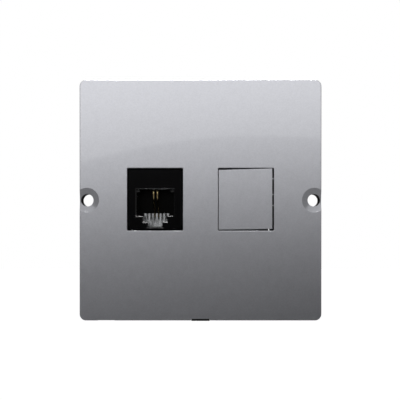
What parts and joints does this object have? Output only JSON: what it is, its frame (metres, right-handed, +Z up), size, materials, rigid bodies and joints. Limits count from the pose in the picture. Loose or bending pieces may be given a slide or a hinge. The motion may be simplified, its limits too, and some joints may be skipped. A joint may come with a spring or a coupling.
{
  "type": "telephone wall socket",
  "caption": "Square silver wall plate on a black carrier frame, with a modular telephone jack in one opening and a blank in the other, fixed by screws through its sides.",
  "frame": {"origin": "middle of the carrier frame's back face, in the wall plane, halfway between the two screws", "axes": "+X to the right as seen from the front, +Y into the wall, +Z up; the front looks along -Y"},
  "size_m": [0.064, 0.0279, 0.064],
  "materials": {
    "silver_lacquer": "silver metallic lacquer under a glossy clear coat",
    "black_frame": "satin moulded",
    "black_jack": "smooth moulded",
    "clear_comb": "clear polycarbonate",
    "gold_contact": "gold flash over spring bronze",
    "board": "glass epoxy with solder resist",
    "terminal_grey": "moulded nylon",
    "tinned_blade": "tinned bronze",
    "cap_black": "satin moulded"
  },
  "bodies": {
    "root": {"front_plate": "silver_lacquer", "blank_insert": "silver_lacquer", "rear_frame": "black_frame", "jack_housing": "black_jack", "contact_carrier": "black_jack", "contact_comb": "clear_comb", "contact_wire_1": "gold_contact", "contact_wire_2": "gold_contact", "circuit_board": "board", "terminal_block": "terminal_grey", "idc_blade_1": "tinned_blade", "idc_blade_2": "tinned_blade", "idc_blade_3": "tinned_blade", "idc_blade_4": "tinned_blade", "terminal_cap_1": "cap_black", "terminal_cap_2": "cap_black"}
  },
  "joints": []
}
